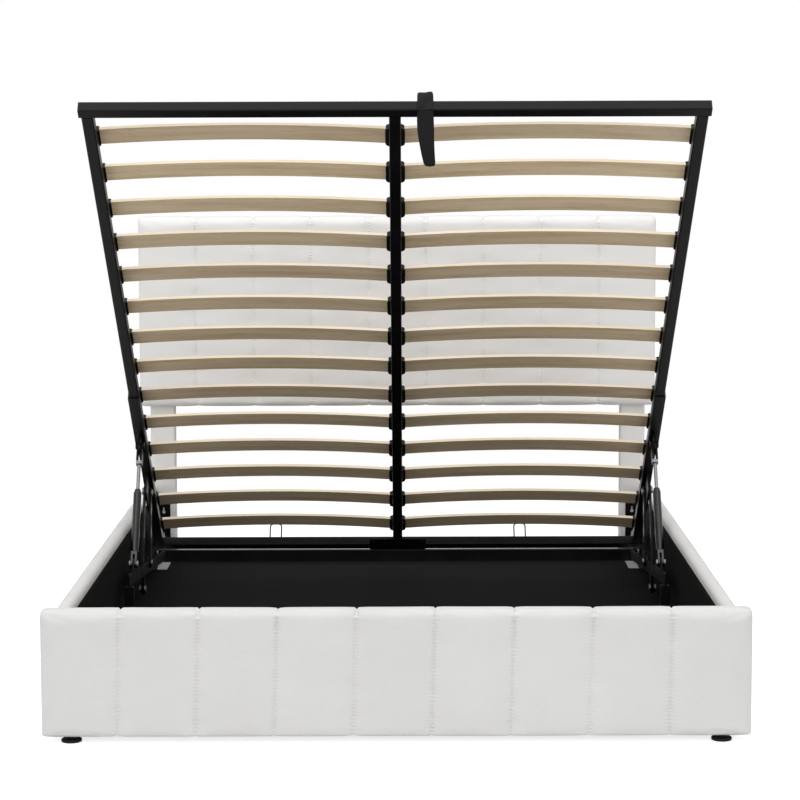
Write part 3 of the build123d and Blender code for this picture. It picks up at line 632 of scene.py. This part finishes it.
def finish_channels(points, seams, y_back, low_z, high_z, lean, depth):
    """Stitch grooves, puckers beside them and the lean of the sewn lines."""
    x = points[:, 0].copy()
    y = points[:, 1].copy()
    z = points[:, 2].copy()
    gaps = np.stack([x - s for s in seams])
    nearest = np.argmin(np.abs(gaps), axis=0)
    dx = gaps[nearest, np.arange(len(x))]
    height = (z - low_z) / (high_z - low_z)
    front = np.clip((y_back - y) / 0.004, 0, 1)
    near_top = np.clip((z - high_z + 0.016) / 0.012, 0, 1)
    groove = (0.0013 + 0.0026 * near_top) * np.exp(-(dx / 0.0030) ** 2)
    run = z + (y_back - y) * 0.9
    wander = 0.8 * np.sin(run * 31.0 + nearest * 1.3) + 0.5 * np.sin(run * 83.0 + nearest)
    stitch = np.sin(2 * np.pi * run / STITCH_PITCH + nearest * 2.1 + wander)
    patchy = 0.8 + 0.25 * np.sin(run * 19.0 + nearest * 5.3) * np.sin(run * 7.3 + nearest)
    fade = np.exp(-(np.abs(dx) / 0.0075) ** 2)
    pucker = depth * stitch * fade * patchy * (0.8 + 0.4 * np.clip(height * 3 - 1.8, 0, 1))
    long_wave = 0.0008 * np.sin(2 * np.pi * run / 0.06 + nearest * 1.7) * np.exp(-np.abs(dx) / 0.03)
    amount = (groove - pucker - long_wave) * front
    centre_y = y_back - 0.02
    centre_z = np.clip(z, low_z + 0.03, high_z - 0.03)
    ny = y - centre_y
    nz = z - centre_z
    away = np.sqrt(ny ** 2 + nz ** 2) + 1e-9
    points[:, 1] = y - amount * ny / away
    points[:, 2] = z - amount * nz / away
    points[:, 0] = x + sway_of(x, height, lean)


def sway_of(x, height, lean):
    """Sideways lean of the sewn lines, none at the top and at the ends of the panel."""
    return lean * (height - 1.0) * (1 - (np.abs(x) / HALF_WIDTH) ** 6)


def stitches(name, cover, seams, path, lean, low_z, high_z, spacing, body):
    """Lock stitches along the sewn lines, each a small rounded thread bedded in the fabric."""
    cover.data.update()
    tree = BVHTree.FromPolygons([v.co for v in cover.data.vertices],
                                [p.vertices for p in cover.data.polygons])
    verts, faces = [], []
    sides = 6
    length = spacing * 0.72
    radius = 0.0007
    reach = 0.03
    for seam in seams:
        for y, z, dy, dz in path:
            x = seam + float(sway_of(seam, (z - low_z) / (high_z - low_z), lean))
            out = Vector((0.0, -dz, dy))
            hit = tree.ray_cast(Vector((x, y, z)) + out * reach, -out, 2 * reach)[0]
            if hit is None:
                continue
            base = len(verts)
            for step in range(5):
                along = (step / 4 - 0.5) * length
                swell = radius * (0.35, 0.9, 1.0, 0.9, 0.35)[step]
                sink = 0.0006 * (abs(step - 2) / 2) ** 2
                for side in range(sides):
                    angle = 2 * math.pi * side / sides
                    lift = math.cos(angle) * swell - sink
                    verts.append((x + math.sin(angle) * swell, hit.y + dy * along + out.y * lift,
                                  hit.z + dz * along + out.z * lift))
            for step in range(4):
                for side in range(sides):
                    a = base + step * sides + side
                    b = base + step * sides + (side + 1) % sides
                    faces.append((a, b, b + sides, a + sides))
            faces.append(tuple(base + k for k in reversed(range(sides))))
            faces.append(tuple(base + 4 * sides + k for k in range(sides)))
    made = add_mesh(name, verts, faces, FABRIC, body)
    outward(made)
    return made


def seam_path(y_front, y_top_back, low_z, high_z, radius, inset, spacing):
    """Places of the stitches up the front and over the top edge."""
    front = y_front + inset
    top = high_z - inset
    line = []
    z = low_z + inset + 0.008
    while z < top - radius:
        line.append((front, z, 0.0, 1.0))
        z += spacing
    turns = max(2, int(radius * 1.57 / spacing))
    for k in range(turns):
        angle = math.pi - 0.5 * math.pi * (k + 0.5) / turns
        y = front + radius + radius * math.cos(angle)
        z = top - radius + radius * math.sin(angle)
        line.append((y, z, math.sin(angle), -math.cos(angle)))
    y = front + radius + spacing / 2
    while y < y_top_back - 0.004:
        line.append((y, top, 1.0, 0.0))
        y += spacing
    return line


foot_front = at_depth(0.0)
foot_back = at_depth(FOOT_THICK)
foot_top = FOOT_LOW + FOOT_HIGH
FOOT_LEAN = 0.010
foot_cover, foot_seams = channelled_cover(
    "footboard_cover", foot_front, foot_back, FOOT_LOW - 0.001, foot_top + 0.003,
    crown=0.0028, end_round=0.011, radii=(0.016, 0.006, 0.007), counts=(64, 8, 6),
    columns=16, lean=FOOT_LEAN, body="base", nodes=["footboard_panel"],
    stretch=1.003, cap=0.0026, pucker=0.0021)
head_front = at_depth(BED_LENGTH - HEAD_THICK)
head_back = at_depth(BED_LENGTH)
head_top = HEAD_LOW + HEAD_HIGH
cover_low, cover_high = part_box("headboard_back_cover")
head_cover, head_seams = channelled_cover(
    "headboard_cover", head_front, head_back, HEAD_LOW, head_top,
    crown=0.0030, end_round=0.012, radii=(0.022, 0.008, 0.014), counts=(96, 9, 6),
    columns=16, lean=0.0, body="base", nodes=["headboard_panel"],
    stretch=0.992, cap=0.0014, pucker=0.0014,
    recess=(cover_high.x - 0.004, cover_low.z + 0.003, cover_high.z - 0.003))
foot_path = seam_path(foot_front, foot_back, FOOT_LOW, foot_top, 0.017, 0.005, STITCH_PITCH)
stitches("footboard_stitches", foot_cover, foot_seams, foot_path, FOOT_LEAN, FOOT_LOW, foot_top,
         STITCH_PITCH, "base")
head_path = seam_path(head_front, head_back, HEAD_LOW, head_top, 0.022, 0.008, STITCH_PITCH)
stitches("headboard_stitches", head_cover, head_seams, head_path, 0.0, HEAD_LOW, head_top,
         STITCH_PITCH, "base")


def wrapped_bar(name, low, high, radii, along, counts, steps, ripple, body, nodes):
    """Fabric pulled over a timber bar, with slight slack, along Y or Z."""
    verts, faces = [], []
    axis = {"Y": 1, "Z": 2}[along]
    others = [0, 2] if axis == 1 else [0, 1]
    section = rounded_section(low[others[0]], high[others[0]], low[others[1]], high[others[1]],
                              radii, counts)
    count = len(section)
    centre = [(low[others[0]] + high[others[0]]) / 2, (low[others[1]] + high[others[1]]) / 2]
    for step in range(steps + 1):
        place = low[axis] + (high[axis] - low[axis]) * step / steps
        for a, b in section:
            da, db = a - centre[0], b - centre[1]
            away = math.hypot(da, db)
            point = [0, 0, 0]
            point[others[0]], point[others[1]], point[axis] = a, b, place
            slack = mnoise.noise(Vector((point[0] * 9, point[1] * 5, point[2] * 9))) * ripple
            fine = mnoise.noise(Vector((point[0] * 40, point[1] * 26, point[2] * 40)))
            slack += fine * ripple * 0.35
            end = min(step, steps - step) / steps
            slack *= min(1.0, end * 30)
            point[others[0]] -= (ripple - slack) * da / away
            point[others[1]] -= (ripple - slack) * db / away
            verts.append(tuple(point))
    for ring in range(steps):
        for k in range(count):
            a = ring * count + k
            b = ring * count + (k + 1) % count
            faces.append((a, b, b + count, a + count))
    faces.append(tuple(range(count)))
    faces.append(tuple(reversed(range(steps * count, (steps + 1) * count))))
    made = add_mesh(name, verts, faces, FABRIC, body)
    outward(made)
    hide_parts(*nodes)
    return made


for side, name in ((-1, "left"), (1, "right")):
    low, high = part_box("side_rail_" + name)
    wrapped_bar("side_rail_cover_" + name, low, high, (0.016, 0.016, 0.010), "Y", (26, 6, 4),
                170, 0.0012, "base", ["side_rail_" + name])
    low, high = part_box("head_leg_" + name)
    wrapped_bar("head_leg_cover_" + name, low, high, (0.007, 0.007, 0.007), "Z", (8, 6, 4),
                120, 0.0008, "base", ["head_leg_" + name])


def strap_strip(name, centre, width_of, thickness, offset, body, nodes, levels=1):
    """Flat webbing along a line of (shift, y, z) points, with soft selvedges."""
    verts, faces = [], []
    across = 10
    shares = [-1 + 2 * k / across for k in range(across + 1)]
    profile = [(share, 0.5 * (1 - 0.5 * abs(share) ** 6)) for share in shares]
    profile += [(share, -level) for share, level in reversed(profile)]
    count = len(profile)
    for index, (shift, y, z) in enumerate(centre):
        before = centre[max(0, index - 1)]
        after = centre[min(len(centre) - 1, index + 1)]
        ty, tz = after[1] - before[1], after[2] - before[2]
        size = math.hypot(ty, tz)
        ny, nz = -tz / size, ty / size
        width = width_of(index / (len(centre) - 1))
        for share, level in profile:
            x = offset + shift + share * width / 2
            cup = 0.0007 * math.sin(x * 210 + index * 0.5) + 0.0012 * share * math.sin(index * 0.31)
            above = level * thickness + cup
            verts.append((x, y + ny * above, z + nz * above))
    for ring in range(len(centre) - 1):
        for k in range(count):
            a = ring * count + k
            b = ring * count + (k + 1) % count
            faces.append((a, b, b + count, a + count))
    faces.append(tuple(range(count)))
    faces.append(tuple(reversed(range((len(centre) - 1) * count, len(centre) * count))))
    made = add_mesh(name, verts, faces, WEBBING, body)
    outward(made)
    subdivide(made, levels)
    if nodes:
        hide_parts(*nodes)
    widest = max(width_of(k / 20) for k in range(21))
    return made


# The platform's own frame: along it from the front bar, and above its tubes' centre line
TILT = math.radians(40.0)
bar_low, bar_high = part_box("front_bar")
BAR_Y = (bar_low.y + bar_high.y) / 2
BAR_Z = (bar_low.z + bar_high.z) / 2
STRAP_X = 0.071


def platform_point(along, above):
    """Y and Z of a point on the raised platform."""
    return (BAR_Y + along * math.cos(TILT) + above * math.sin(TILT),
            BAR_Z - along * math.sin(TILT) + above * math.cos(TILT))


def smooth_line(points, rounds=2):
    """Cut the corners of an open line a few times."""
    for _ in range(rounds):
        made = [points[0]]
        for a, b in zip(points, points[1:]):
            made.append(tuple(p * 0.75 + q * 0.25 for p, q in zip(a, b)))
            made.append(tuple(p * 0.25 + q * 0.75 for p, q in zip(a, b)))
        made.append(points[-1])
        points = made
    return points


# The strap's webbing: half the loop's size round the bar, its width and thickness
WRAP = 0.0158
STRAP_WIDTH = 0.0385
STRAP_THICK = 0.0018
loop_points = [(-0.013, -WRAP), (-0.006, -WRAP), (WRAP, -WRAP), (WRAP, 0.0), (WRAP, WRAP),
               (0.010, WRAP + 0.002), (0.008, WRAP + 0.014), (0.003, WRAP + 0.0255),
               (-0.006, WRAP + 0.0285), (-0.0145, WRAP + 0.024), (-0.0185, WRAP + 0.010),
               (-WRAP - 0.0016, 0.004), (-WRAP - 0.0008, -0.010), (-WRAP - 0.0006, -WRAP - 0.001)]
loop_line = [(0.0, *platform_point(*point)) for point in smooth_line(loop_points)]


def loop_width(share):
    """Width of the loop's webbing, drawn in where it folds over the bar."""
    return STRAP_WIDTH - 0.011 * math.exp(-((share - 0.62) / 0.07) ** 2)


def tail_width(share):
    """Width of the hanging end, which twists away from the camera."""
    return STRAP_WIDTH + 0.002 * math.sin(math.pi * min(1, share * 1.6)) - 0.0125 * share ** 2.4


strap_strip("pull_strap_loop_webbing", loop_line, loop_width, STRAP_THICK, STRAP_X, "platform",
            ["pull_strap_loop"])
tail_low, tail_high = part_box("pull_strap_tail")
tail_y = (tail_low.y + tail_high.y) / 2
tail_points = []
for step in range(13):
    share = step / 12
    shift = 0.0105 * share ** 1.4 - 0.002 * math.sin(math.pi * share)
    sway = -0.0022 * math.sin(math.pi * share * 1.1) + 0.0012 * math.sin(7 * share)
    tail_points.append((shift, tail_y + sway, tail_high.z - (tail_high.z - tail_low.z) * share))
strap_strip("pull_strap_tail_webbing", tail_points, tail_width, STRAP_THICK, STRAP_X, "strap_tail",
            ["pull_strap_tail"])


def cloth_panel(name, low, high, face_axis, face_sign, cells, ripple, material, body, nodes):
    """Thin cloth stretched over a flat face, with slight waves and tucked edges."""
    axes = [k for k in range(3) if k != face_axis]
    thin = high[face_axis] - low[face_axis]
    base = low[face_axis] if face_sign > 0 else high[face_axis]
    verts, faces = [], []
    across, up = cells
    rows, columns = across + 1, up + 1
    for layer in (0, 1):
        for i in range(rows):
            for j in range(columns):
                point = [0.0, 0.0, 0.0]
                u, v = i / across, j / up
                point[axes[0]] = low[axes[0]] + (high[axes[0]] - low[axes[0]]) * u
                point[axes[1]] = low[axes[1]] + (high[axes[1]] - low[axes[1]]) * v
                edge = min(1.0, 12 * min(u, 1 - u, v, 1 - v) + 0.15)
                side, rise = point[axes[0]], point[axes[1]]
                wave = mnoise.noise(Vector((side * 3.1, rise * 7.0, 0.3 + face_axis)))
                wave += 0.4 * mnoise.noise(Vector((side * 14, rise * 19, 2.1)))
                lift = thin * 0.55 + ripple * wave * edge
                lift = min(max(lift, thin * 0.3), thin * 0.98)
                point[face_axis] = base + face_sign * (lift if layer else 0.12 * thin)
                verts.append(tuple(point))
    size = rows * columns
    for i in range(across):
        for j in range(up):
            a, b, c, d = (i * columns + j, (i + 1) * columns + j, (i + 1) * columns + j + 1,
                          i * columns + j + 1)
            faces.append((a, b, c, d))
            faces.append((size + d, size + c, size + b, size + a))
    rim = [i * columns for i in range(across)] + [across * columns + j for j in range(up)]
    rim += [i * columns + up for i in range(across, 0, -1)] + [j for j in range(up, 0, -1)]
    for a, b in zip(rim, rim[1:] + rim[:1]):
        faces.append((a, b, size + b, size + a))
    made = add_mesh(name, verts, faces, material, body)
    outward(made)
    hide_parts(*nodes)
    return made


lining_low, lining_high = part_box("storage_linings")
for side, name in ((-1, "left"), (1, "right")):
    outer = side * lining_high.x
    inner = side * (lining_high.x - LINING_THICK)
    low = (min(outer, inner), lining_low.y + LINING_THICK, lining_low.z)
    high = (max(outer, inner), lining_high.y, lining_high.z)
    cloth_panel("storage_lining_" + name, low, high, 0, -side, (120, 16), 0.0007, LINING, "base",
                ["storage_linings"])
cloth_panel("storage_lining_foot", tuple(lining_low),
            (lining_high.x, lining_low.y + LINING_THICK, lining_high.z), 1, 1, (100, 16), 0.0007,
            LINING, "base", ["storage_linings"])
cloth_panel("headboard_back_cloth", tuple(cover_low), tuple(cover_high), 1, 1, (110, 44), 0.0016,
            LINING, "base", ["headboard_back_cover"])

# The struts' rods are bright, their forks black and the collars between them zinc
rods = NODES["strut_rods"]
rods.data.materials.clear()
for mat in (CHROME, ZINC, STEEL):
    rods.data.materials.append(mat)
rod_axis = Vector((0, STRUT_TOP[0] - STRUT_FOOT[0], STRUT_TOP[1] - STRUT_FOOT[1])).normalized()
rod_top = Vector((0, at_depth(STRUT_TOP[0]), STRUT_TOP[1]))
for polygon in rods.data.polygons:
    back = (rod_top - polygon.center).dot(rod_axis)
    if back < FORK_LENGTH:
        polygon.material_index = 2
    elif back < COLLAR_END:
        polygon.material_index = 1
    else:
        polygon.material_index = 0


# -------------------------------------------------------------- ride, stage

for made in [o for o in scene.objects if "rides" in o]:
    body = made["rides"]
    del made["rides"]
    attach(made, body)

floor_mesh = bpy.data.meshes.new("studio_floor")
floor_mesh.from_pydata([(-14, -9, 0), (14, -9, 0), (14, 14, 0), (-14, 14, 0)], [], [(0, 1, 2, 3)])
studio_floor = bpy.data.objects.new("studio_floor", floor_mesh)
scene.collection.objects.link(studio_floor)
floor_mat, tree, shader = new_material("pale_floor")
path = node(tree, "ShaderNodeLightPath")
seen = math_node(tree, "MAXIMUM", path.outputs["Is Camera Ray"], path.outputs["Is Glossy Ray"])
seen = math_node(tree, "MAXIMUM", seen, path.outputs["Is Transmission Ray"])
shader.inputs["Base Color"].default_value = (0.76, 0.76, 0.76, 1)
shader.inputs["Roughness"].default_value = 0.9
shader.inputs["Specular IOR Level"].default_value = 0.0
coords = node(tree, "ShaderNodeTexCoord")
centre = node(tree, "ShaderNodeVectorMath", operation="SUBTRACT")
centre.inputs[1].default_value = (0.0, -0.2, 0.0)
tree.links.new(coords.outputs["Object"], centre.inputs[0])
radius = node(tree, "ShaderNodeVectorMath", operation="LENGTH")
tree.links.new(centre.outputs[0], radius.inputs[0])
far = ramp(tree, math_node(tree, "DIVIDE", radius.outputs["Value"], 6.0),
           [(0.3, (0, 0, 0)), (0.62, (1, 1, 1))])
glow = node(tree, "ShaderNodeEmission")
glow.inputs["Color"].default_value = (1, 1, 1, 1)
tree.links.new(math_node(tree, "MULTIPLY", seen, 0.74), glow.inputs["Strength"])
both = node(tree, "ShaderNodeAddShader")
tree.links.new(shader.outputs[0], both.inputs[0])
tree.links.new(glow.outputs[0], both.inputs[1])
plain = node(tree, "ShaderNodeEmission")
plain.inputs["Color"].default_value = (1, 1, 1, 1)
distant = node(tree, "ShaderNodeMixShader")
tree.links.new(math_node(tree, "MULTIPLY", far, seen), distant.inputs[0])
tree.links.new(both.outputs[0], distant.inputs[1])
tree.links.new(plain.outputs[0], distant.inputs[2])
tree.links.new(distant.outputs[0], tree.nodes["Material Output"].inputs["Surface"])
floor_mesh.materials.append(floor_mat)

world = bpy.data.worlds.new("studio")
scene.world = world
world.use_nodes = True
tree = world.node_tree
tree.nodes.clear()
out = node(tree, "ShaderNodeOutputWorld")
light_path = node(tree, "ShaderNodeLightPath")
seen = math_node(tree, "MAXIMUM", light_path.outputs["Is Camera Ray"],
                 light_path.outputs["Is Glossy Ray"])
seen = math_node(tree, "MAXIMUM", seen, light_path.outputs["Is Transmission Ray"])
lit = node(tree, "ShaderNodeBackground")
lit.inputs["Color"].default_value = (1, 1, 1, 1)
lit.inputs["Strength"].default_value = 0.40
white = node(tree, "ShaderNodeBackground")
white.inputs["Color"].default_value = (1, 1, 1, 1)
white.inputs["Strength"].default_value = 1.0
blend = node(tree, "ShaderNodeMixShader")
tree.links.new(seen, blend.inputs[0])
tree.links.new(lit.outputs[0], blend.inputs[1])
tree.links.new(white.outputs[0], blend.inputs[2])
tree.links.new(blend.outputs[0], out.inputs["Surface"])


def softbox(name, place, target, size, energy):
    data = bpy.data.lights.new(name, "AREA")
    data.shape = "RECTANGLE"
    data.size, data.size_y = size
    data.energy = energy
    made = bpy.data.objects.new(name, data)
    scene.collection.objects.link(made)
    made.location = place
    made.rotation_euler = (Vector(target) - Vector(place)).to_track_quat("-Z", "Y").to_euler()
    return made


softbox("top_softbox", (0.0, -0.6, 4.2), (0.0, 0.1, 0.3), (5.0, 4.0), 122.0)

front_data = bpy.data.lights.new("front_window", "SUN")
front_data.energy = 1.22
front_data.angle = math.radians(65)
front_window = bpy.data.objects.new("front_window", front_data)
scene.collection.objects.link(front_window)
front_window.rotation_euler = Vector((0.12, 1.0, -0.17)).to_track_quat("-Z", "Y").to_euler()

# The camera stands where the photograph's did
FOCAL_PIXELS = 2434.5
PHOTO_PIXELS = 800
camera_data = bpy.data.cameras.new("photo_camera")
camera_data.sensor_width = 36.0
camera_data.lens = FOCAL_PIXELS / PHOTO_PIXELS * camera_data.sensor_width
camera_data.clip_end = 60.0
camera = bpy.data.objects.new("photo_camera", camera_data)
scene.collection.objects.link(camera)
pitch = 0.10989
yaw = 0.00111
roll = -0.003
stand = Matrix.Translation((0.0162, at_depth(-5.3845), 1.3749))
turn = Matrix.Rotation(yaw, 4, "Z")
tip = Matrix.Rotation(math.pi / 2 - pitch, 4, "X")
camera.matrix_world = stand @ turn @ tip @ Matrix.Rotation(roll, 4, "Z")
scene.camera = camera
scene.view_settings.view_transform = "Standard"
